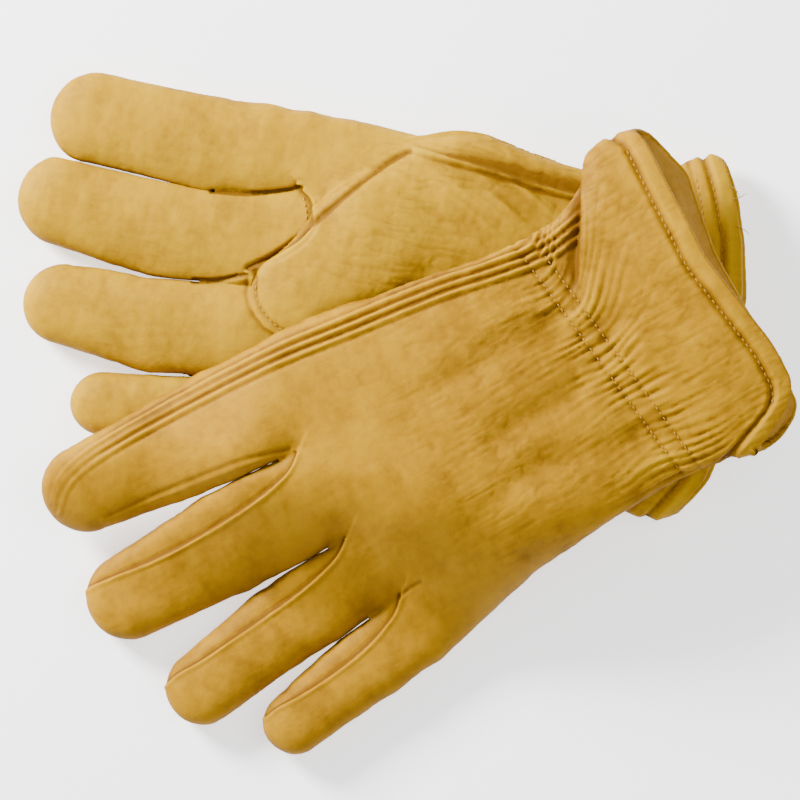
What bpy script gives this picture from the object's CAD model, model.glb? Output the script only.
"""A pair of golden leather work gloves lying crossed: right glove palm up, left glove over it."""

import math

import bpy
import numpy as np
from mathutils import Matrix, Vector
from mathutils.bvhtree import BVHTree


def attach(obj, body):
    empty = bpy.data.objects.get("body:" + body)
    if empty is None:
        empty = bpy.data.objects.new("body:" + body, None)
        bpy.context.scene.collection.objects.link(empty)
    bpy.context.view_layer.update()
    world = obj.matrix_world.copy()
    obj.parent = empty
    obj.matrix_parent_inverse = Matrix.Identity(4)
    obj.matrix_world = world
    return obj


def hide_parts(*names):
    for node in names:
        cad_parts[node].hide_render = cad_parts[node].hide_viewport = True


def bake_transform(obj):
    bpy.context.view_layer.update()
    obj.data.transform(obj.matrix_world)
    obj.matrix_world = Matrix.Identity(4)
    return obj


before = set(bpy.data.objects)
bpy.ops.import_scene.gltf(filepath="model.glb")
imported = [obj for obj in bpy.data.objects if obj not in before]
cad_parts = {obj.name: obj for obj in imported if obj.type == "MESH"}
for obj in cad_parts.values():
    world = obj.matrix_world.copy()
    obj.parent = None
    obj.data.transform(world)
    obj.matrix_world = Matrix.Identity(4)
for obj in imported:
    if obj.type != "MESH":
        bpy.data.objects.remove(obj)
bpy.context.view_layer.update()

MM = 0.001
STEP = 0.7              # mesh spacing, mm
HIDE = 1.25             # hide thickness, mm
POWER = 2.5             # how square the cross-sections are
ROLL = 4                # steps round the rolled edge of a cuff
FLOOR_GAP = 0.25        # least height over the floor, mm
CUFF_ZONE = -84         # the cuff's edge lies below this u, mm

RIGHT_AT = (8.554, 34.349)
RIGHT_YAW = math.radians(170.0)
LEFT_AT = (20.454, -10.301)
LEFT_YAW = math.radians(209.0)


# ---------------------------------------------------------------- numeric helpers

def smooth(x):
    """A soft step from 0 to 1."""
    x = np.clip(x, 0.0, 1.0)
    return x * x * (3.0 - 2.0 * x)


def bell(d, width):
    """One at d = 0, falling off over width."""
    return np.exp(-((d / width) ** 2))


def smin(a, b, k):
    """The lesser of two fields, rounded over k."""
    h = np.clip(0.5 + 0.5 * (b - a) / k, 0.0, 1.0)
    return b * (1.0 - h) + a * h - k * h * (1.0 - h)


def table(rows, column, x):
    """A column of a table as a smoothed function of the first column."""
    rows = np.array(rows, float)
    order = np.argsort(rows[:, 0])
    xs, ys = rows[order, 0], rows[order, column]
    fine = np.linspace(xs[0], xs[-1], 400)
    line = np.interp(fine, xs, ys)
    kernel = np.hanning(27)
    kernel /= kernel.sum()
    padded = np.concatenate([np.full(13, line[0]), line, np.full(13, line[-1])])
    return np.interp(x, fine, np.convolve(padded, kernel, "valid"))


LATTICES = {}


def noise(x, y, z, seed):
    """Smooth noise about zero, from -0.5 to 0.5."""
    if seed not in LATTICES:
        LATTICES[seed] = np.random.RandomState(seed).rand(64, 64, 64)
    grid = LATTICES[seed]
    out = 0.0
    xi, yi, zi = np.floor(x).astype(int), np.floor(y).astype(int), np.floor(z).astype(int)
    fx, fy, fz = smooth(x - xi), smooth(y - yi), smooth(z - zi)
    for dx in (0, 1):
        for dy in (0, 1):
            for dz in (0, 1):
                w = (fx if dx else 1 - fx) * (fy if dy else 1 - fy) * (fz if dz else 1 - fz)
                out = out + w * grid[(xi + dx) % 64, (yi + dy) % 64, (zi + dz) % 64]
    return out - 0.5


def fractal(x, y, z, seed, octaves=3):
    """Noise with finer and weaker layers of itself added."""
    out, gain = 0.0, 1.0
    for n in range(octaves):
        out = out + gain * noise(x * 2 ** n, y * 2 ** n, z * 2 ** n, seed + n)
        gain *= 0.5
    return out


def turn(yaw, x, y):
    """A place turned about the vertical."""
    return math.cos(yaw) * x - math.sin(yaw) * y, math.sin(yaw) * x + math.cos(yaw) * y


def resample(points, spacing):
    """A smooth curve through a few points, as evenly spaced places."""
    p = np.array(points, float)
    if len(p) > 2:
        dense = []
        q = np.vstack([2 * p[0] - p[1], p, 2 * p[-1] - p[-2]])
        for i in range(1, len(q) - 2):
            for t in np.linspace(0, 1, 24, endpoint=False):
                a, b, c, d = q[i - 1], q[i], q[i + 1], q[i + 2]
                dense.append(0.5 * (2 * b + (c - a) * t + (2 * a - 5 * b + 4 * c - d) * t * t
                                    + (3 * b - a - 3 * c + d) * t ** 3))
        dense.append(p[-1])
        p = np.array(dense)
    lengths = np.concatenate([[0], np.cumsum(np.linalg.norm(np.diff(p, axis=0), axis=1))])
    count = max(2, int(round(lengths[-1] / spacing)) + 1)
    at = np.linspace(0, lengths[-1], count)
    return np.stack([np.interp(at, lengths, p[:, k]) for k in range(p.shape[1])], 1)


def curve_distance(curve, u, v):
    """Signed distance from a curve, for places within 12 mm of it."""
    pts = curve[:, :2]
    best = np.full(u.shape, 1e9)
    sign = np.ones(u.shape)
    box = (u > pts[:, 0].min() - 12) & (u < pts[:, 0].max() + 12)
    box &= (v > pts[:, 1].min() - 12) & (v < pts[:, 1].max() + 12)
    uu, vv = u[box], v[box]
    b, s = best[box], sign[box]
    for i in range(len(pts) - 1):
        ax, ay = pts[i]
        dx, dy = pts[i + 1] - pts[i]
        length = dx * dx + dy * dy
        t = np.clip(((uu - ax) * dx + (vv - ay) * dy) / length, 0, 1)
        ex, ey = uu - ax - t * dx, vv - ay - t * dy
        d = ex * ex + ey * ey
        near = d < b
        b = np.where(near, d, b)
        s = np.where(near, np.sign(dx * ey - dy * ex), s)
    best[box], sign[box] = b, s
    return np.sqrt(best) * sign


# ---------------------------------------------------------------- shape of a glove

class Shape:
    """A glove's form in its own frame, in mm: u to the fingertips, v to the little finger, z up from its
    mid-plane.

    outline: rows of u and the hand's two side edges in v. fingers: rows of u, v and radius along each
    finger's middle. bounds: lines of (u, v) that part a finger from its two neighbours. thumb: rows of u, v,
    radius and height, and thumb_up its upper and lower half-thickness. cuff, cuff_low: rows of v and the u
    at which the upper and the lower sheet end. wrist: u of the elastic at its two ends. split: u at which
    the fingers' own skins begin. rise: height of the glove over the floor. touch: u up to which
    neighbouring fingers touch.
    """

    def __init__(self, outline, fingers, bounds, thumb, thumb_up, cuff, cuff_low, wrist, split, rise, seed,
                 touch=-200.0):
        self.touch = touch
        self.outline, self.fingers, self.bounds = outline, fingers, bounds
        self.thumb, self.thumb_up = thumb, thumb_up
        self.cuff, self.cuff_low = cuff, cuff_low
        self.wrist, self.split, self.rise, self.seed = wrist, split, rise, seed

    def cut(self, v, z):
        """Where the cuff ends at v, on the upper or the lower sheet."""
        upper = table(self.cuff, 1, v)
        lower = table(self.cuff_low, 1, v)
        return lower + (upper - lower) * smooth((z + 4.5) / 9.0)

    def cut_slope(self, v, z):
        """How fast the cuff's end moves with v and with z."""
        return self.cut(v + 0.5, z) - self.cut(v - 0.5, z), self.cut(v, z + 0.5) - self.cut(v, z - 0.5)

    def top_height(self, u, v):
        """Half-thickness of the hand over its mid-plane: pinched at the wrist, flared at the cuff."""
        wrist = self.wrist_line(v)
        pinch = bell(u - wrist, 17.0)
        full = 11.6 - 3.2 * smooth((u - 20) / 45.0)
        return (full - (full - 7.2) * pinch) * (1.0 + 0.18 * smooth((wrist - 6 - u) / 34.0))

    def low_height(self, u, v):
        """Half-thickness of the hand under its mid-plane."""
        wrist = self.wrist_line(v)
        pinch = bell(u - wrist, 17.0)
        full = 8.4 - 1.4 * smooth((u - 20) / 45.0)
        return full - (full - 5.6) * pinch

    def wrist_line(self, v):
        """Where the elastic crosses the wrist at v."""
        return self.wrist[0] + (v + 45.0) / 90.0 * (self.wrist[1] - self.wrist[0])

    def middle(self, u):
        """Height of the mid-plane over what the glove lies on."""
        return 8.4 - 1.4 * smooth((u - 20) / 45.0)

    def hand(self, u, v, z):
        """Field of the hand: below zero inside."""
        low, high = table(self.outline, 1, u), table(self.outline, 2, u)
        mid, half = 0.5 * (low + high), 0.5 * (high - low)
        h = np.where(z > 0, self.top_height(u, v), self.low_height(u, v))
        n = POWER
        end = np.clip((u - 34.0) / 24.0, 0, None)
        g = (np.abs((v - mid) / half) ** n + np.abs(z / h) ** n + end ** n) ** (1 / n)
        return (g - 1.0) * 9.0

    def capsule(self, line, u, v, z, lift=None, tall=(8.6, 7.0)):
        """Field of a flattened round-ended form along a line: a finger or, with lift, a thumb."""
        best = None
        for a, b in zip(line, line[1:]):
            d = np.array(b[:2]) - np.array(a[:2])
            t = np.clip(((u - a[0]) * d[0] + (v - a[1]) * d[1]) / (d @ d), 0, 1)
            far = np.hypot(u - a[0] - t * d[0], v - a[1] - t * d[1])
            r = a[2] + (b[2] - a[2]) * t
            zc = 0.0 if lift is None else a[3] + (b[3] - a[3]) * t
            dz = z - zc
            h = np.where(dz > 0, tall[0], tall[1]) * (0.72 + 0.28 * np.clip(r / 16.0, 0, 1))
            g = (np.abs(far / r) ** POWER + np.abs(dz / h) ** POWER) ** (1 / POWER)
            f = (g - 1.0) * h
            best = f if best is None else smin(best, f, 0.8 if lift is None else 5.0)
        return best

    def apart(self, u):
        """Half the space between two fingers: they touch as far as self.touch."""
        return 0.22 - 0.28 * (1.0 - smooth((u - self.touch) / 8.0))

    def finger(self, name, u, v, z):
        """Field of one finger, cut off where it meets its neighbours."""
        f = self.capsule(self.fingers[name], u, v, z)
        low, high = self.bounds[name]
        if low:
            edge = np.interp(u, [p[0] for p in low], [p[1] for p in low])
            f = -smin(-f, -(edge + self.apart(u) - v), 0.7)
        if high:
            edge = np.interp(u, [p[0] for p in high], [p[1] for p in high])
            f = -smin(-f, -(v - edge + self.apart(u)), 0.7)
        return f

    def part(self, name):
        """The form near one finger, or of the whole hand."""
        def one(u, v, z):
            hand = self.hand(u, v, z)
            return smin(hand, self.finger(name, u, v, z), 2.2)

        def whole(u, v, z):
            hand = self.hand(u, v, z)
            out = None
            for line in self.fingers.values():
                f = smin(hand, self.capsule(line, u, v, z), 2.2)
                out = f if out is None else np.minimum(out, f)
            if self.thumb is not None:
                thumb = self.capsule(self.thumb, u, v, z, lift=True, tall=self.thumb_up)
                out = smin(out, thumb, 0.9 + 5.0 * smooth((28.0 - u) / 34.0))
            return out
        return whole if name == "hand" else one


def surface_nets(f, low, step):
    """The zero surface of samples on a grid, as points and quads that face outwards."""
    nx, ny, nz = f.shape
    s = f < 0
    corner = {}
    mixed_any = np.zeros((nx - 1, ny - 1, nz - 1), bool)
    mixed_all = np.ones((nx - 1, ny - 1, nz - 1), bool)
    for a in (0, 1):
        for b in (0, 1):
            for c in (0, 1):
                part = s[a:nx - 1 + a, b:ny - 1 + b, c:nz - 1 + c]
                mixed_any |= part
                mixed_all &= part
    active = mixed_any & ~mixed_all
    i, j, k = np.nonzero(active)
    ids = np.full(active.shape, -1)
    ids[active] = np.arange(len(i))
    for a in (0, 1):
        for b in (0, 1):
            for c in (0, 1):
                corner[a, b, c] = f[i + a, j + b, k + c]
    total = np.zeros((len(i), 3))
    count = np.zeros(len(i))
    for axis in range(3):
        for p in (0, 1):
            for q in (0, 1):
                first, second = [p, q], [p, q]
                first.insert(axis, 0)
                second.insert(axis, 1)
                fa, fb = corner[tuple(first)], corner[tuple(second)]
                cross = (fa < 0) != (fb < 0)
                t = np.where(cross, fa / np.where(cross, fa - fb, 1.0), 0.0)
                place = np.tile(np.array(first, float), (len(i), 1))
                place[:, axis] = t
                total += place * cross[:, None]
                count += cross
    points = (np.stack([i, j, k], 1) + total / count[:, None]) * step + low
    quads = []
    for axis in range(3):
        one = [slice(None)] * 3
        two = [slice(None)] * 3
        one[axis], two[axis] = slice(0, -1), slice(1, None)
        sa, sb = s[tuple(one)], s[tuple(two)]
        e = np.stack(np.nonzero(sa != sb), 1)
        others = [n for n in range(3) if n != axis]
        keep = np.ones(len(e), bool)
        for o in others:
            keep &= (e[:, o] >= 1) & (e[:, o] < f.shape[o] - 1)
        e = e[keep]
        ring = []
        for da, db in ((-1, -1), (0, -1), (0, 0), (-1, 0)):
            cell = e.copy()
            cell[:, others[0]] += da
            cell[:, others[1]] += db
            ring.append(ids[cell[:, 0], cell[:, 1], cell[:, 2]])
        quad = np.stack(ring, 1)
        inside_first = sa[e[:, 0], e[:, 1], e[:, 2]]
        flip = inside_first if axis != 1 else ~inside_first
        quad[~flip] = quad[~flip][:, ::-1]
        quads.append(quad)
    quads = np.concatenate(quads)
    return points, quads[(quads >= 0).all(1)]


def gradient(form, p):
    """How a field changes along each axis at the points p."""
    e = 0.05
    out = np.empty_like(p)
    for k in range(3):
        a, b = p.copy(), p.copy()
        a[:, k] += e
        b[:, k] -= e
        out[:, k] = (form(*a.T) - form(*b.T)) / (2 * e)
    return out


def mesh_normals(points, quads):
    """Normals at the points, weighted by the quads' areas."""
    a = points[quads[:, 2]] - points[quads[:, 0]]
    b = points[quads[:, 3]] - points[quads[:, 1]]
    n = np.cross(a, b)
    out = np.zeros_like(points)
    for k in range(4):
        np.add.at(out, quads[:, k], n)
    return out / np.maximum(np.linalg.norm(out, axis=1, keepdims=True), 1e-12)


def relax(points, quads, rounds, form=None):
    """Even out a mesh, keeping it on its form."""
    edges = np.concatenate([quads[:, [0, 1]], quads[:, [1, 2]], quads[:, [2, 3]], quads[:, [3, 0]]])
    edges = np.concatenate([edges, edges[:, ::-1]])
    at, to = edges.T
    neighbours = np.bincount(at, minlength=len(points)).astype(float)
    for _ in range(rounds):
        total = np.stack([np.bincount(at, points[to, k], len(points)) for k in range(3)], 1)
        points = points + 0.5 * (total / np.maximum(neighbours, 1)[:, None] - points)
        if form is not None:
            points = project(points, form, 1)
    return points


def project(points, form, rounds=3):
    """Move points onto the zero surface of a field."""
    for _ in range(rounds):
        g = gradient(form, points)
        f = form(*points.T)
        step = f / np.maximum((g * g).sum(1), 1e-3)
        points = points - g * np.clip(step, -1.0, 1.0)[:, None]
    return points


def extract(form, low, high):
    """Points and quads of a field's zero surface within a box."""
    axes = [np.arange(a, b + STEP, STEP) for a, b in zip(low, high)]
    u, v, z = np.meshgrid(*axes, indexing="ij")
    f = form(u, v, z)
    points, quads = surface_nets(f, np.array([a[0] for a in axes]), STEP)
    return project(points, form, 3), quads


# ---------------------------------------------------------------- the two gloves

def left_rise(u, v):
    """Height of the left glove: it drapes over the right hand and comes down to the floor past it."""
    x, y = turn(LEFT_YAW, u, v)
    x = x + LEFT_AT[0] - RIGHT_AT[0]
    y = y + LEFT_AT[1] - RIGHT_AT[1]
    p, q = turn(-RIGHT_YAW, x, y)
    top = 17.0 + 16.0 * (1.0 - smooth((p - 50.0) / 45.0))
    return top * (1.0 - smooth((q - 58.0) / 60.0)) + 0.6


def right_rise(u, v):
    """The right glove lies on the floor."""
    return np.zeros_like(u)


LEFT = Shape(
    outline=[(-118, -62, 46), (-104, -66, 49), (-93, -69, 52), (-84, -67, 51.5), (-77, -59, 50),
             (-66, -53.5, 48), (-50, -52.0, 47.5), (-33, -54.0, 48), (-17, -57.0, 50), (2, -59.6, 52),
             (20, -61.6, 54.5), (37, -63, 58.5), (52, -64.5, 62.0), (66, -64.5, 64)],
    fingers={
        "index": [(22, -41, 20), (56, -45.2, 20.0), (74, -46.4, 20.0), (92, -47.6, 18.4),
                  (127.5, -50.8, 15.6)],
        "middle": [(22, -8, 18), (56, -8.6, 17.8), (74, -9.0, 18.9), (92, -9.4, 18.4), (133.2, -9.6, 15.4)],
        "ring": [(22, 22, 15), (56, 23.2, 14.6), (74, 24.7, 15.8), (92, 26.2, 14.6), (126.0, 31.6, 13.2)],
        "little": [(14, 39, 14), (50, 50.0, 13.8), (68, 52.4, 13.8), (82, 54.6, 12.8), (103.5, 58.6, 11.2)],
    },
    bounds={
        "index": (None, [(50, -25.6), (92, -28.6), (110, -31), (145, -33)]),
        "middle": ([(50, -25.6), (92, -28.6), (110, -29), (145, -30)], [(50, 9.4), (90, 9.8), (150, 12)]),
        "ring": ([(50, 9.4), (90, 9.9), (150, 16)], [(44, 36.8), (78, 40.6), (150, 50)]),
        "little": ([(44, 36.8), (78, 40.7), (150, 54)], None),
    },
    thumb=[(-26, -24, 17, -8.0), (10, -8, 16, -13.5), (34, 2, 13.0, -14.0)],
    thumb_up=(5.8, 5.2),
    cuff=[(-74, -98), (-64, -103.0), (-45, -102.0), (-16, -101.0), (6, -104.5), (22, -107), (35, -107),
          (41, -104), (45, -98), (49, -90), (53, -81), (60, -76)],
    cuff_low=[(-74, -99), (-64, -106.5), (-45, -111.5), (-16, -106.5), (6, -106.5), (30, -107.5),
              (44, -106), (52, -101), (60, -94)],
    wrist=(-50.5, -62.0),
    split=62.0,
    rise=left_rise,
    seed=11,
    touch=79.0,
)

RIGHT = Shape(
    outline=[(-118, -56, 44), (-104, -62, 49), (-96, -70, 55), (-88, -73, 58.5), (-80, -70.5, 58),
             (-70, -62, 54), (-60, -56, 51), (-50, -54, 49.5), (-33, -55, 50), (-12, -57.5, 52.5),
             (12, -59, 55), (32, -60, 58), (52, -62, 62), (66, -62.5, 64)],
    fingers={
        "index": [(22, -42, 18.5), (56, -48.8, 14.8), (72, -46.8, 16.6), (90, -45.6, 17.2),
                  (131.3, -47.6, 16.6)],
        "middle": [(22, -14, 17), (56, -16.4, 18.8), (72, -14.6, 18.0), (98, -13.2, 18.2),
                   (138.0, -17.0, 16.2)],
        "ring": [(22, 18, 17), (66, 17.6, 17.2), (98, 20.7, 17.6), (131.5, 19.4, 14.4)],
        "little": [(14, 40, 14), (56, 48.6, 14.0), (84, 50.4, 12.8), (112.0, 52.0, 11.2)],
    },
    bounds={
        "index": (None, [(50, -29.4), (90, -29.0), (120, -30.9), (160, -33)]),
        "middle": ([(50, -29.4), (90, -29.0), (120, -30.9), (160, -33)],
                   [(50, 1.5), (80, 2.6), (104, 4.6), (135, 1.5), (150, 0)]),
        "ring": ([(50, 1.5), (80, 2.6), (104, 4.8), (135, 3.4), (150, 2)],
                 [(50, 35.2), (76, 36.0), (100, 38.6), (150, 39)]),
        "little": ([(50, 35.2), (76, 36.0), (100, 38.8), (150, 39)], None),
    },
    thumb=[(-34, -34, 21, -3.0), (4, -36, 21, 5.5), (26, -22, 18.5, 11.6), (50.0, 2.5, 15.6, 13.8)],
    thumb_up=(6.8, 5.4),
    cuff=[(-78, -88), (-68, -93), (-60, -96.5), (-45, -101.5), (-26, -105), (28, -106), (42, -103.5),
          (52, -98), (64, -90)],
    cuff_low=[(-78, -89), (-68, -95), (-60, -99), (-45, -104), (-26, -108), (28, -109), (42, -106),
              (52, -100), (64, -91)],
    wrist=(-56.0, -56.0),
    split=85.0,
    rise=right_rise,
    seed=41,
    touch=96.0,
)


# the line along which the left cuff folds over the wrist
FOLD = resample([(-86, -70), (-79, -62.5), (-70.5, -48.5), (-62, -35), (-56.5, -24)], 2.0)


def seams_of(side):
    """Curves of the seams that show on a glove's upper side. Each has a kind and places along it."""
    seams = []
    if side == "left":
        edge = [(-88, -64), (-76, -56.0), (-66, -51.6), (-50, -50.4), (-17, -56.0), (20, -60.4),
                (52, -63.4), (90, -64.2), (118, -63.6), (132, -60.5), (140, -54)]
        for near, far in ((1.9, 1.6), (4.8, 3.6), (7.9, 6.4)):
            # a ridge lies near mm in from the edge on the hand, and far mm in on the finger
            ridge = [(a, b + near + (far - near) * min(1.0, max(0.0, (a - 20) / 60.0))) for a, b in edge]
            seams.append(("ridge", ridge))
        seams.append(("strip", [(55.5, -25.0), (62, -21.0), (76, -18.0), (96, -16.6), (116, -16.8),
                                (132, -18.6), (143, -19.6), (149, -18.5)]))
        seams.append(("strip", [(55.5, 9.6), (62, 13.6), (76, 17.4), (94, 19.8), (110, 21.4), (122, 22.4),
                                (131, 22.6), (137, 24.2)]))
        seams.append(("strip", [(48.5, 36.9), (55, 42.0), (68, 46.8), (84, 49.4), (98, 50.4), (106, 50.4),
                                (111, 51.4)]))
        seams.append(("soft", [(57, -27.4), (72, -32.0), (92, -34.8), (112, -37.2), (126, -38.6)]))
        seams.append(("valley", [(-46, -19), (-26, -22.5), (-6, -21.5), (12, -25)]))
        seams.append(("valley", [(-50, 27), (-34, 25), (-14, 20), (6, 22)]))
        seams.append(("valley", [(-40, 4), (-24, 2), (-8, 5)]))
        seams.append(("tail", [(48.5, 36.9), (44.0, 35.6), (39.5, 35.6)]))
    else:
        seams.append(("lap", [(55.5, -36.6), (50.6, -32.0), (48.4, -26.0), (50.4, -19.0), (57, -12.0),
                              (68, -4.0)]))
        seams.append(("thumb", [(66.5, -3.0), (65, 6.5), (58.5, 14.0), (49, 18.5)]))
        seams.append(("gap", [(86, -29.2), (72, -31.0), (61, -34.0), (54.5, -36.4)]))
        seams.append(("gap", [(87, 3.2), (78, 1.6), (69, -2.2)]))
        seams.append(("crease", [(66.5, -3.6), (58, -12.5), (49.5, -21.6), (37.5, -36.6), (26.0, -50.0),
                                 (19.0, -55.5)]))
        seams.append(("ridge", [(24, -57.2), (8, -55.0), (-12, -53.0), (-33, -50.4), (-50, -49.4)]))
    return [(kind, resample(pts, 2.0)) for kind, pts in seams]


def add_seam(d, shade, kind, off, side, shape, u, v, up):
    """Add one seam's profile to d and shade in place. off is the distance from the seam, mm."""
    if kind == "ridge":
        fade = up * (1.0 - 0.75 * smooth((u - 98.0) / 30.0))
        if side == "right":
            fade = fade * smooth((25 - u) / 16.0)
        if side == "left":
            fade = fade * (1.0 - smooth((curve_distance(FOLD, u, v) + 1.5) / 1.5)
                           * smooth((-54 - u) / 6.0))
        d += (0.9 * bell(off, 0.8) - 0.35 * bell(np.abs(off) - 1.6, 0.6)) * fade
        shade += (0.5 * bell(off, 0.8) - 0.9 * bell(np.abs(off) - 1.55, 0.6)) * fade
    elif kind == "strip":
        d += (0.75 * bell(off - 0.8, 0.9) - 0.85 * bell(off + 0.35, 0.75)) * up
        d -= 0.9 * smooth((-off) / 1.2) * bell(np.minimum(off, 0), 7.0) * up
        shade += (0.35 * bell(off - 0.9, 0.9) - 2.7 * bell(off + 0.3, 0.5)) * up
        shade -= 0.25 * smooth((-off) / 1.2) * bell(np.minimum(off, 0), 7.0) * up
    elif kind == "soft":
        d += (0.35 * bell(off - 1.2, 1.3) - 0.55 * bell(off, 1.0)) * up
        shade -= 0.55 * bell(off, 0.9) * up
    elif kind == "tail":
        d -= 0.5 * bell(off, 0.7) * up
        shade -= 0.8 * bell(off, 0.7) * up
    elif kind == "valley":
        ends = smooth((shape.split - 40 - u) / 26.0) * up
        d -= 1.3 * bell(off + 3.0 * noise(u / 14.0, v / 14.0, 0 * u, shape.seed + 25), 5.5) * ends
        shade -= 0.22 * bell(off + 1.0, 6.5) * ends
    elif kind == "gap":
        d -= 1.3 * bell(off, 0.65) * up
        shade -= 2.0 * bell(off, 0.75) * up
    elif kind == "crease":
        d -= 1.1 * bell(off, 1.0) * up
        shade -= 1.5 * bell(off, 1.1) * up
    elif kind == "lap":
        lip = 1.5 * smooth((off + 0.4) / 0.8) * bell(np.maximum(off, 0), 5.0)
        d += (lip - 0.9 * bell(off + 0.9, 0.9)) * up
        d -= 0.45 * bell(off - 2.2, 0.5) * up
        shade -= (1.9 * bell(off + 0.5, 0.8) - 0.6 * bell(off - 1.2, 0.9)) * up
    elif kind == "thumb":
        d += (0.8 * bell(off, 0.9) - 0.6 * bell(off - 1.8, 0.7) - 0.4 * bell(off + 1.7, 0.6)) * up
        shade -= 0.8 * bell(np.abs(off) - 1.7, 0.7) * up


def relief(side, shape, u, v, z, facing):
    """Height of the surface's detail, mm, and how worn or shaded it is. facing is 1 on the upper side."""
    up = smooth((facing + 0.1) / 0.5)
    down = 1.0 - up
    d = np.zeros_like(u)
    shade = np.zeros_like(u)
    s = shape.seed
    wrist = shape.wrist_line(v)
    at = u - wrist
    cut = shape.cut(v, z)

    # broad softness of the hide, and long loose folds
    calm = 0.3 + 0.7 * up
    d += 1.1 * fractal(u / 38.0, v / 30.0, z / 40.0 + 3, s, 2) * smooth((95 - u) / 40) * calm
    d += 0.7 * fractal(u / 17.0 + 9, v / 13.0, z / 40.0, s + 3, 2) * calm
    shade -= 0.5 * bell(facing - 0.05, 0.42)

    # gathers that fan out from the elastic
    start = v.copy()
    if side == "left":
        out = np.log1p(np.exp(np.clip((-at - 4.0) / 3.0, -30, 30))) * 3.0
        for _ in range(8):
            start = 0.5 * (start + v + 1.25 * np.minimum(out, 42.0) * smooth((24 - start) / 62.0))
    wave = start + 3.0 * fractal(u / 26.0, v / 26.0, z / 30.0, s + 5, 2)
    strength = 0.66 * bell(at, 11.0) + 0.40 * bell(at, 27.0)
    strength = strength * (1.0 - 0.3 * bell(at, 2.0))
    phase = wave / 2.9 + 1.1 * noise(wave / 7.0, u / 17.0, up * 4.0, s + 7)
    long = smooth((noise(wave / 4.0, u / 15.0, up * 4.0, s + 8) + 0.42) / 0.55)
    pleat = (np.sqrt(np.abs(np.sin(math.pi * phase)) + 0.02) - 0.72) * long
    pleat = pleat + 0.8 * noise(wave / 1.3, u / 11.0, up * 4.0, s + 10)
    pleat = pleat + 1.0 * noise(wave / 6.5, u / 32.0, up * 4.0, s + 11)
    back = 1.0 if side == "left" else 0.35
    d += 1.25 * pleat * strength * (back * up + (1.35 - back) * down)
    shade += 1.15 * pleat * strength * up * back

    # rows of stitches draw the leather in at the elastic
    if side == "left":
        for row in (-3.2, 3.2):
            d -= 0.55 * bell(at - row, 0.9) * up
            shade -= 0.4 * bell(at - row, 0.9) * up
        d += 0.35 * bell(at, 1.9) * up

    # turned hem round the mouth
    slope_v, slope_z = shape.cut_slope(v, z)
    rim = (u - cut) / np.sqrt(1.0 + slope_v ** 2 + slope_z ** 2)
    d += 1.15 * smooth((5.2 - rim) / 1.4) - 0.9 * bell(rim - 6.3, 0.9) + 0.3 * bell(rim - 8.2, 1.2)
    shade += 0.6 * bell(rim - 3.0, 1.8) - 1.0 * bell(rim - 6.0, 0.9)
    if side == "right":
        d -= 0.55 * bell(rim - 12.0, 0.8) * up
        shade -= 0.6 * bell(rim - 12.0, 0.8) * up
    d += 0.55 * noise(v / 5.5, u / 9.0, up * 2, s + 9) * smooth((24 - rim) / 14)

    if side == "left":
        # the flared cuff folds over the wrist on the index finger's side
        fold = curve_distance(FOLD, u, v)
        fade = smooth((v + 84) / 10.0) * smooth((-24 - v) / 22.0)
        lip = 2.0 * smooth((fold + 0.4) / 1.1) * bell(np.maximum(fold, 0), 9.0)
        d += (lip - 2.0 * bell(fold + 0.9, 1.4)) * up * fade
        shade -= (1.9 * bell(fold + 0.7, 1.2) + 0.7 * bell(fold + 3.0, 3.0)) * up * fade

    # fine creases across the hand and fingers
    crease = fractal(u / 4.2, v / 9.0, z / 9.0, s + 12, 3)
    d += 0.26 * crease
    shade += 0.35 * crease
    grain = noise(u / 7.5 + 2.0 * noise(u / 19.0, v / 19.0, z / 20.0, s + 14), v / 1.7, z / 6.0, s + 15)
    veins = bell(grain, 0.09) * smooth((noise(u / 13.0, v / 13.0, z / 13.0, s + 16) + 0.25) / 0.4)
    zone = 0.30 + 0.70 * smooth((shape.split - 25 - u) / 40.0)
    d -= 0.17 * veins * zone
    shade -= 0.30 * veins * zone
    d += 0.10 * noise(u / 1.5, v / 1.5, z / 1.5, s + 21) * zone

    if side == "right":
        # palm side: wrinkles at the root of the thumb
        root = bell(np.hypot((u + 12) / 26.0, (v + 44) / 13.0), 1.0) * up
        slant = 0.9 * v + 0.5 * u + 2.0 * noise(u / 14.0, v / 14.0, 0 * u, s + 22)
        wrinkle = noise(slant / 1.9, (u - 0.5 * v) / 26.0, 0 * u, s + 19)
        d += 1.6 * wrinkle * root
        shade += 1.2 * wrinkle * root
        side_line = bell(v + 55.5 + 0.07 * u, 3.4)
        shade -= 1.3 * side_line * smooth((14 - u) / 20.0) * smooth((u + 72) / 12.0) * up

    for kind, curve in seams_of(side):
        add_seam(d, shade, kind, curve_distance(curve, u, v), side, shape, u, v, up)
    return d, shade


def open_edges(quads):
    """The edges that only one quad has, each in that quad's direction."""
    edges = {}
    for quad in quads:
        for a, b in zip(quad, np.roll(quad, -1)):
            if (b, a) in edges:
                del edges[b, a]
            else:
                edges[a, b] = True
    return list(edges)


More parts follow.
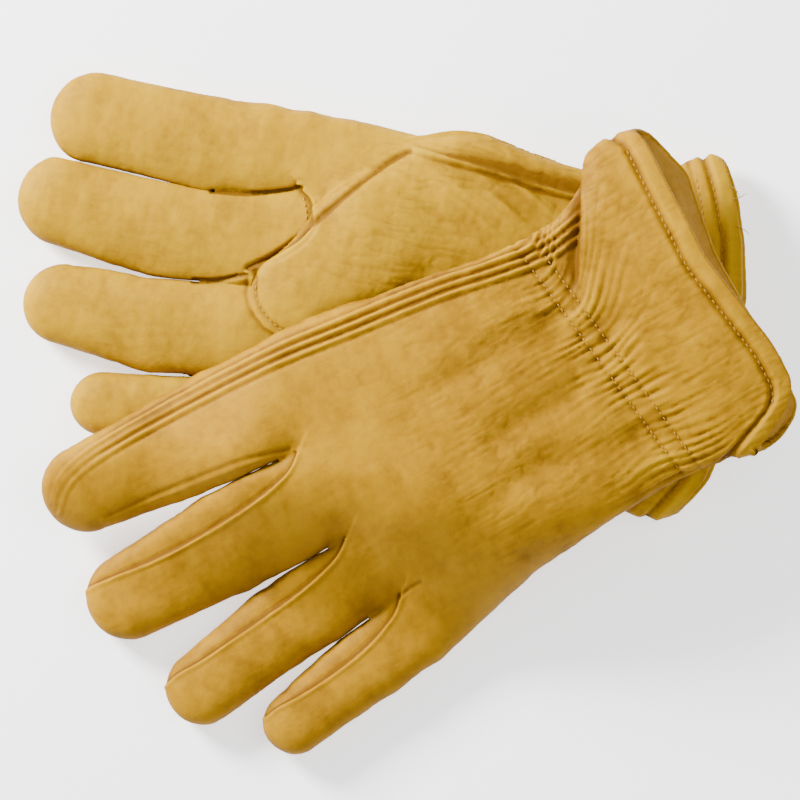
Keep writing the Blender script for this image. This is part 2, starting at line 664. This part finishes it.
def rolled_rim(p, inner, n, ring, edges):
    """The rolled edge of a cuff: half a round from the outer sheet p to the inner one.

    Returns rows of points, their normals, and quads that count the outer sheet first, then the inner one,
    then the rows.
    """
    out_way = np.zeros((len(ring), 3))
    out_way[:, 0] = -1.0
    out_way -= n[ring] * (out_way * n[ring]).sum(1)[:, None]
    out_way /= np.maximum(np.linalg.norm(out_way, axis=1, keepdims=True), 1e-9)
    core, half = 0.5 * (p[ring] + inner[ring]), 0.5 * (p[ring] - inner[ring])
    reach = np.linalg.norm(half, axis=1, keepdims=True)
    rows, row_normals = [], []
    for step in range(1, ROLL):
        angle = math.pi * step / ROLL
        rows.append(core + half * math.cos(angle) + out_way * reach * math.sin(angle))
        row_normals.append(n[ring] * math.cos(angle) + out_way * math.sin(angle))
    count = len(p)
    place = {int(r): i for i, r in enumerate(ring)}

    def spot(r, step):
        if step == 0:
            return r
        if step == ROLL:
            return r + count
        return 2 * count + (step - 1) * len(ring) + place[int(r)]

    quads = [(spot(b, k), spot(a, k), spot(a, k + 1), spot(b, k + 1)) for a, b in edges for k in range(ROLL)]
    return rows, row_normals, np.array(quads)


class Skin:
    """A stretch of a glove's hide that belongs to one body: an outer and an inner sheet of quads.

    local and rest are its points in the glove's own frame in mm, with and without relief; points and
    normals are in the pair's frame.
    """

    def __init__(self, side, name, shape, at, yaw):
        form = shape.part(name)
        if name == "hand":
            low, high = (-113, -76, -24), (shape.split + 8, 74, 24)
        else:
            line = shape.fingers[name]
            low = (shape.split - 8, min(p[1] - p[2] for p in line[1:]) - 5, -12)
            high = (line[-1][0] + line[-1][2] + 5, max(p[1] + p[2] for p in line[1:]) + 5, 13)
        low = [math.floor(a / STEP) * STEP for a in low]
        p, q = extract(form, low, high)
        p = relax(p, q, 2, form)
        n = mesh_normals(p, q)
        flat = p.copy()
        d, shade = relief(side, shape, p[:, 0], p[:, 1], p[:, 2], n[:, 2])
        p = p + n * d[:, None]
        cut = shape.cut(flat[:, 1], flat[:, 2])
        slope_v, slope_z = shape.cut_slope(flat[:, 1], flat[:, 2])
        steep = 1.0 + slope_v ** 2 + slope_z ** 2
        gap = (cut - p[:, 0]) / steep
        along = -gap * np.sqrt(steep)
        centre = flat[q].mean(1)
        keep = centre[:, 0] >= shape.split
        edges = []
        if name == "hand":
            keep = (centre[:, 0] > shape.cut(centre[:, 1], centre[:, 2])) & (centre[:, 0] < shape.split)
            near_cuff = open_edges(q[keep & (centre[:, 0] < CUFF_ZONE)])
            edges = [(a, b) for a, b in near_cuff if max(along[a], along[b]) < 3.0 * STEP]
        ring = np.unique(np.array(edges, int)) if len(edges) else np.array([], int)
        steady = mesh_normals(p, q)
        p[ring, 0] += gap[ring]
        p[ring, 1] -= (gap * slope_v)[ring]
        p[ring, 2] -= (gap * slope_z)[ring]
        p[:, 2] += shape.middle(p[:, 0]) + shape.rise(p[:, 0], p[:, 1])
        # what would come within a millimetre of the floor is eased up onto it
        eased = FLOOR_GAP + np.exp(np.minimum(p[:, 2] - FLOOR_GAP - 1.0, 0.0))
        p[:, 2] = np.where(p[:, 2] < FLOOR_GAP + 1.0, eased, p[:, 2])
        n = mesh_normals(p, q[keep])
        edge_zone = np.zeros(len(p), bool)
        edge_zone[ring] = True
        n = np.where(edge_zone[:, None], steady, n)
        thick = HIDE + (1.0 * smooth((7.0 - along) / 3.0) if name == "hand" else 0.0)
        inner = p - n * np.reshape(thick * np.ones(len(p)), (-1, 1))
        inner[:, 2] = np.maximum(inner[:, 2], FLOOR_GAP)
        q = q[keep]
        count = len(p)
        faces = [q, q[:, ::-1] + count]
        kinds = [np.zeros(len(q), int), np.ones(len(q), int)]
        rolled, rolled_n = [], []
        if len(ring):
            rolled, rolled_n, strip = rolled_rim(p, inner, n, ring, edges)
            faces.append(strip)
            kinds.append(np.zeros(len(strip), int))
        more = [flat[ring]] * len(rolled)
        points = np.concatenate([p, inner] + rolled)
        normals = np.concatenate([n, -n] + rolled_n)
        rest = np.concatenate([flat, flat] + more)
        shade = np.concatenate([shade, shade * 0.3] + [shade[ring] * 0.5] * len(rolled))
        faces = np.concatenate(faces)
        used, faces = np.unique(faces, return_inverse=True)
        self.faces = faces.reshape(-1, 4)
        self.kinds = np.concatenate(kinds)
        self.local, self.normals = points[used], normals[used]
        self.shade, self.rest = shade[used], rest[used]
        self.points = to_row(self.local, at, yaw)
        x, y = turn(yaw, self.normals[:, 0], self.normals[:, 1])
        self.normals = np.stack([x, y, self.normals[:, 2]], 1)


def to_row(p, at, yaw):
    """Points in a glove's own frame, mm, moved to the pair's frame, m."""
    x, y = turn(yaw, p[:, 0], p[:, 1])
    return np.stack([x + at[0], y + at[1], p[:, 2]], 1) * MM


def add_mesh(name, points, faces, materials, kinds=None, normals=None, attributes=None):
    """A smooth mesh object. kinds is each face's material slot, attributes are values at the points."""
    mesh = bpy.data.meshes.new(name)
    faces = np.asarray(faces)
    size = faces.shape[1]
    mesh.vertices.add(len(points))
    mesh.vertices.foreach_set("co", np.asarray(points, np.float32).ravel())
    mesh.loops.add(faces.size)
    mesh.loops.foreach_set("vertex_index", faces.astype(np.int32).ravel())
    mesh.polygons.add(len(faces))
    mesh.polygons.foreach_set("loop_start", np.arange(0, faces.size, size, dtype=np.int32))
    if kinds is not None:
        mesh.polygons.foreach_set("material_index", kinds.astype(np.int32))
    mesh.update(calc_edges=True)
    for key, value in (attributes or {}).items():
        value = np.asarray(value, np.float32)
        if value.ndim == 1:
            mesh.attributes.new(key, "FLOAT", "POINT").data.foreach_set("value", value)
        else:
            mesh.attributes.new(key, "FLOAT_VECTOR", "POINT").data.foreach_set("vector", value.ravel())
    for m in materials:
        mesh.materials.append(m)
    mesh.validate()
    mesh.polygons.foreach_set("use_smooth", np.ones(len(mesh.polygons), bool))
    if normals is not None:
        mesh.normals_split_custom_set_from_vertices([tuple(n) for n in normals])
    obj = bpy.data.objects.new(name, mesh)
    bpy.context.scene.collection.objects.link(obj)
    return obj


# ---------------------------------------------------------------- materials

def leather(name, base, deep, pale, inside=False):
    """Hide whose colour runs from deep through base to pale, by mottling and by the skin's own shade."""
    m = bpy.data.materials.new(name)
    m.use_nodes = True
    nodes, links = m.node_tree.nodes, m.node_tree.links
    shader = nodes["Principled BSDF"]

    def node(kind, **values):
        made = nodes.new(kind)
        for key, value in values.items():
            if key in made.inputs:
                made.inputs[key].default_value = value
            else:
                setattr(made, key, value)
        return made

    def times_plus(source, factor, plus):
        """source * factor + plus, where plus is a number or another socket."""
        made = node("ShaderNodeMath", operation="MULTIPLY_ADD")
        links.new(source, made.inputs[0])
        made.inputs[1].default_value = factor
        if isinstance(plus, float):
            made.inputs[2].default_value = plus
        else:
            links.new(plus, made.inputs[2])
        return made.outputs[0]

    rest = node("ShaderNodeAttribute", attribute_name="rest")
    shade = node("ShaderNodeAttribute", attribute_name="shade")
    cloud = node("ShaderNodeTexNoise", Scale=0.045, Detail=3.0, Roughness=0.55)
    mottle = node("ShaderNodeTexNoise", Scale=0.32, Detail=4.0, Roughness=0.6)
    links.new(rest.outputs["Vector"], cloud.inputs["Vector"])
    links.new(rest.outputs["Vector"], mottle.inputs["Vector"])
    clouded = times_plus(cloud.outputs["Fac"], 0.45, 0.27)
    mottled = times_plus(mottle.outputs["Fac"], 0.30, clouded)
    shaded = times_plus(shade.outputs["Fac"], 0.30, mottled)
    ramp = node("ShaderNodeValToRGB")
    ramp.color_ramp.elements[0].position = 0.30
    ramp.color_ramp.elements[0].color = (*deep, 1)
    ramp.color_ramp.elements[1].position = 1.0
    ramp.color_ramp.elements[1].color = (*pale, 1)
    middle = ramp.color_ramp.elements.new(0.66)
    middle.color = (*base, 1)
    links.new(shaded, ramp.inputs["Fac"])
    links.new(ramp.outputs["Color"], shader.inputs["Base Color"])
    pebble = node("ShaderNodeTexVoronoi", Scale=1.15)
    pebble.feature = "SMOOTH_F1"
    links.new(rest.outputs["Vector"], pebble.inputs["Vector"])
    fine = node("ShaderNodeTexNoise", Scale=2.6, Detail=3.0, Roughness=0.6)
    links.new(rest.outputs["Vector"], fine.inputs["Vector"])
    grain = times_plus(pebble.outputs["Distance"], 0.6, fine.outputs["Fac"])
    bump = node("ShaderNodeBump", Strength=0.35 if not inside else 0.6, Distance=0.00022)
    links.new(grain, bump.inputs["Height"])
    links.new(bump.outputs["Normal"], shader.inputs["Normal"])
    rough = node("ShaderNodeMapRange")
    rough.inputs["To Min"].default_value = 0.50 if not inside else 0.85
    rough.inputs["To Max"].default_value = 0.66 if not inside else 0.95
    links.new(mottle.outputs["Fac"], rough.inputs["Value"])
    links.new(rough.outputs["Result"], shader.inputs["Roughness"])
    shader.inputs["Specular IOR Level"].default_value = 0.07
    return m


def plain(name, colour, roughness):
    """One colour with a fine fleck in it."""
    m = bpy.data.materials.new(name)
    m.use_nodes = True
    nodes, links = m.node_tree.nodes, m.node_tree.links
    shader = nodes["Principled BSDF"]
    noise_node = nodes.new("ShaderNodeTexNoise")
    noise_node.inputs["Scale"].default_value = 900.0
    coords = nodes.new("ShaderNodeTexCoord")
    links.new(coords.outputs["Object"], noise_node.inputs["Vector"])
    ramp = nodes.new("ShaderNodeValToRGB")
    ramp.color_ramp.elements[0].color = tuple(c * 0.86 for c in colour) + (1,)
    ramp.color_ramp.elements[1].color = tuple(min(1.0, c * 1.1) for c in colour) + (1,)
    links.new(noise_node.outputs["Fac"], ramp.inputs["Fac"])
    links.new(ramp.outputs["Color"], shader.inputs["Base Color"])
    shader.inputs["Roughness"].default_value = roughness
    return m


UPPER = leather("left_hide", (0.335, 0.163, 0.0), (0.125, 0.049, 0.0), (0.45, 0.245, 0.0))
LOWER = leather("right_hide", (0.385, 0.206, 0.0), (0.15, 0.064, 0.0), (0.49, 0.296, 0.0))
INSIDE = leather("hide_inside", (0.44, 0.235, 0.030), (0.25, 0.115, 0.010), (0.58, 0.35, 0.08), inside=True)
THREAD = plain("thread", (0.34, 0.168, 0.006), 0.7)
ELASTIC = plain("elastic_band", (0.80, 0.76, 0.66), 0.8)


# ---------------------------------------------------------------- build

def rows_of_stitches(side, shape):
    """Curves of thread that lies on the upper side, with the length of a stitch."""
    out = []
    vs = np.linspace(-46, 44, 30)
    if side == "left":
        for row in (-3.2, 3.2):
            out.append(([(shape.wrist_line(v) + row, v) for v in vs], 2.1))
    span = np.linspace(-64, 47, 38) if side == "right" else np.linspace(-62, 40, 36)
    cut = shape.cut(span, 9.0 + 0 * span)
    out.append(([(c + 6.3, v) for c, v in zip(cut, span)], 2.4))
    if side == "right":
        out.append(([(c + 12.0, v) for c, v in zip(cut, span)], 2.4))
        out.append(([(53.6, -33.2), (52.2, -29.6), (50.8, -24.6), (53.2, -18.6), (58.0, -13.4)], 2.3))
        out.append(([(64.6, -3.6), (63.3, 5.2), (57.2, 12.4), (49.8, 16.4)], 2.3))
    return out


def stitch_mesh(places, headings, length, width=0.27, tall=0.30):
    """A short rounded stitch at each place, along its heading."""
    ring, rows = 6, 5
    points, faces = [], []
    for c, (h, up) in zip(places, headings):
        h = h / np.linalg.norm(h)
        side = np.cross(up, h)
        side /= np.linalg.norm(side)
        top = np.cross(h, side)
        base = len(points)
        points.append(c - h * length * 0.5 - top * 0.2)
        for i in range(1, rows):
            t = -1 + 2 * i / rows
            r = math.sqrt(max(0.0, 1 - t ** 4))
            for j in range(ring):
                a = 2 * math.pi * j / ring
                points.append(c + h * t * length * 0.5 + side * width * r * math.cos(a)
                              + top * (tall * r * math.sin(a) + 0.14 * (r - 1)))
        points.append(c + h * length * 0.5 - top * 0.2)
        last = len(points) - 1
        for j in range(ring):
            k = (j + 1) % ring
            faces.append((base, base + 1 + k, base + 1 + j))
            faces.append((last, last - ring + j, last - ring + k))
            for i in range(rows - 2):
                a = base + 1 + i * ring
                faces.append((a + j, a + k, a + ring + k))
                faces.append((a + j, a + ring + k, a + ring + j))
    return np.array(points), np.array(faces)


# where loose ends of thread leave the cuff: v, and how far each bends sideways
LOOSE_ENDS = {"left": (), "right": ((-63.0, 0.9), (-58.5, -0.7), (-49.0, 0.5))}


def stitches_on(side, shape, skin, at, yaw):
    """The thread that shows: stitches laid on the skin from above, and loose ends at the cuff."""
    tree = BVHTree.FromPolygons([Vector(p) for p in skin.local], [tuple(f) for f in skin.faces])
    all_points, all_faces, count = [], [], 0
    for curve, pitch in rows_of_stitches(side, shape):
        c = resample(curve, pitch)
        places, headings = [], []
        hits = [tree.ray_cast(Vector((a, b, 90.0)), Vector((0, 0, -1))) for a, b in c]
        for i in range(len(hits) - 1):
            if hits[i][0] is None or hits[i + 1][0] is None:
                continue
            p, q = np.array(hits[i][0]), np.array(hits[i + 1][0])
            mid = float(shape.middle(p[0]) + shape.rise(np.array(p[0]), np.array(p[1])))
            if np.linalg.norm(q - p) > 1.5 * pitch or hits[i][1].z < 0.35 or p[2] < mid + 2.5:
                continue
            places.append(0.5 * (p + q) + 0.10 * np.array(hits[i][1]))
            headings.append((q - p, np.array(hits[i][1])))
        if not places:
            continue
        p, f = stitch_mesh(places, headings, pitch * 0.74)
        all_points.append(p)
        all_faces.append(f + count)
        count += len(p)
    for v, bend in LOOSE_ENDS[side]:
        start = float(shape.cut(np.array(v), np.array(9.0)))
        hit = tree.ray_cast(Vector((start + 0.6, v, 90.0)), Vector((0, 0, -1)))[0]
        if hit is None:
            continue
        t = np.linspace(0.0, 1.0, 9)
        line = np.array(hit) + np.stack([-5.0 * t, 4.0 * bend * t * t, 1.4 * np.sin(2.6 * t) - 0.2], 1)
        steps = np.diff(line, axis=0)
        headings = [(d, np.array([0, 0, 1.0])) for d in steps]
        p, f = stitch_mesh(0.5 * (line[1:] + line[:-1]), headings, 0.85, 0.15, 0.16)
        all_points.append(p)
        all_faces.append(f + count)
        count += len(p)
    points, faces = np.concatenate(all_points), np.concatenate(all_faces)
    return add_mesh(side + "_stitches", to_row(points, at, yaw), faces, [THREAD])


def elastic_on(side, shape, skin, at, yaw):
    """The band of elastic inside the back of the wrist."""
    tree = BVHTree.FromPolygons([Vector(p) for p in skin.local], [tuple(f) for f in skin.faces])
    sign = 1.0 if side == "left" else -1.0
    grid = []
    for i in range(9):
        row = []
        for j in range(46):
            v = -32.0 + 62.0 * j / 45
            u = float(shape.wrist_line(v)) - 5.0 + 10.0 * i / 8
            z0 = float(shape.middle(np.array(u)) + shape.rise(np.array(u), np.array(v)))
            hit = tree.ray_cast(Vector((u, v, z0)), Vector((0, 0, sign)))[0]
            z = hit.z if hit is not None else z0 + sign * 4
            row.append((u, v, z - sign * 0.35))
        grid.append(row)
    g = np.array(grid)
    g[:, :, 2] = sign * np.minimum.reduce([sign * np.roll(g[:, :, 2], k, 1) for k in (-1, 0, 1)])
    low = g.copy()
    low[:, :, 2] -= sign * 1.0
    rows, cols = g.shape[:2]
    points = np.concatenate([g.reshape(-1, 3), low.reshape(-1, 3)])
    step = rows * cols
    faces = []
    for i in range(rows - 1):
        for j in range(cols - 1):
            a, b = i * cols + j, (i + 1) * cols + j
            faces.append((a, a + 1, b + 1, b))
            faces.append((b + step, b + 1 + step, a + 1 + step, a + step))
    for i in range(rows - 1):
        for j, turn_over in ((0, False), (cols - 1, True)):
            a, b = i * cols + j, (i + 1) * cols + j
            f = (a, b, b + step, a + step)
            faces.append(f[::-1] if turn_over else f)
    for j in range(cols - 1):
        for i, turn_over in ((0, True), (rows - 1, False)):
            a, b = i * cols + j, i * cols + j + 1
            f = (a, b, b + step, a + step)
            faces.append(f[::-1] if turn_over else f)
    faces = np.array(faces)
    if sign < 0:
        faces = faces[:, ::-1]
    return add_mesh(side + "_elastic", to_row(points, at, yaw), faces, [ELASTIC])


# the CAD nodes of each finger besides its back and palm panels
FINGER_SIDES = {
    "index": ["_strip_little_side", "_welt"],
    "middle": ["_strip_thumb_side", "_strip_little_side"],
    "ring": ["_strip_thumb_side", "_strip_little_side"],
    "little": ["_strip_thumb_side"],
}


def build(side, shape, at, yaw, hide, moving):
    """One glove: its skins, thread and elastic, each on its body and standing for its CAD nodes."""
    body = side + "_glove"
    skins = {}
    for name in ("hand",) + tuple(shape.fingers):
        skin = Skin(side, name, shape, at, yaw)
        obj = add_mesh(side + "_" + name + "_skin", skin.points, skin.faces, [hide, INSIDE], skin.kinds,
                       skin.normals, {"rest": skin.rest, "shade": skin.shade})
        skins[name] = skin
        if name == "hand":
            nodes = ["back_panel", "palm_panel", "cuff_hem", "side_welt", "thumb_outer", "thumb_inner"]
            if side == "right":
                nodes += [f + "_root" for f in moving]
            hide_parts(*[side + "_" + n for n in nodes])
            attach(obj, body)
            continue
        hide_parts(*[side + "_" + name + n for n in ["_back", "_palm"] + FINGER_SIDES[name]])
        if name in moving:
            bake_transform(obj)
        else:
            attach(obj, body)
    sewn = stitches_on(side, shape, skins["hand"], at, yaw)
    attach(sewn, body)
    rows = ["elastic_stitches_hand_side", "elastic_stitches_cuff_side"] if side == "left" else []
    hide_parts(*[side + "_" + n for n in rows + ["hem_stitches"]])
    band = elastic_on(side, shape, skins["hand"], at, yaw)
    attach(band, body)
    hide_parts(side + "_wrist_elastic")


build("right", RIGHT, RIGHT_AT, RIGHT_YAW, LOWER, ("index", "middle", "ring"))
build("left", LEFT, LEFT_AT, LEFT_YAW, UPPER, ("index", "middle", "ring", "little"))


# ---------------------------------------------------------------- floor, light and camera

def area(name, at, size, power):
    """A rectangular white light that points at the middle of the pair."""
    light = bpy.data.lights.new(name, "AREA")
    light.shape = "RECTANGLE"
    light.size, light.size_y = size
    light.energy = power
    obj = bpy.data.objects.new(name, light)
    bpy.context.scene.collection.objects.link(obj)
    obj.location = at
    obj.rotation_euler = (Vector((0, 0, 0.02)) - Vector(at)).to_track_quat("-Z", "Y").to_euler()


floor_mesh = bpy.data.meshes.new("floor")
floor_mesh.from_pydata([(-4, -4, 0), (4, -4, 0), (4, 4, 0), (-4, 4, 0)], [], [(0, 1, 2, 3)])
floor = bpy.data.objects.new("floor", floor_mesh)
bpy.context.scene.collection.objects.link(floor)
floor_material = bpy.data.materials.new("floor")
floor_material.use_nodes = True
floor_shader = floor_material.node_tree.nodes["Principled BSDF"]
floor_shader.inputs["Base Color"].default_value = (0.97, 0.97, 0.97, 1)
floor_shader.inputs["Roughness"].default_value = 0.9
floor_shader.inputs["Emission Color"].default_value = (1, 1, 1, 1)
floor_shader.inputs["Emission Strength"].default_value = 1.2
floor_mesh.materials.append(floor_material)

area("key", (-0.85, 0.66, 0.60), (0.36, 0.36), 60.0)
area("fill", (0.6, 0.1, 1.2), (1.0, 1.0), 11.0)
area("low", (-0.7, -0.6, 0.5), (0.8, 0.5), 1.5)

world = bpy.data.worlds.new("studio")
world.use_nodes = True
world.node_tree.nodes["Background"].inputs["Color"].default_value = (1, 1, 1, 1)
world.node_tree.nodes["Background"].inputs["Strength"].default_value = 0.45
bpy.context.scene.world = world

LENS, SENSOR = 200.0, 36.0      # mm
VIEW_WIDTH = 0.282              # width of the picture at VIEW_HEIGHT over the floor, m
VIEW_HEIGHT = 0.03

camera = bpy.data.cameras.new("camera")
camera.lens = LENS
camera.sensor_width = SENSOR
camera.clip_end = 20.0
seen = bpy.data.objects.new("camera", camera)
bpy.context.scene.collection.objects.link(seen)
seen.location = (-0.0040, 0.0037, VIEW_WIDTH * LENS / SENSOR + VIEW_HEIGHT)
seen.rotation_euler = (0.0, 0.0, 0.0)
bpy.context.scene.camera = seen
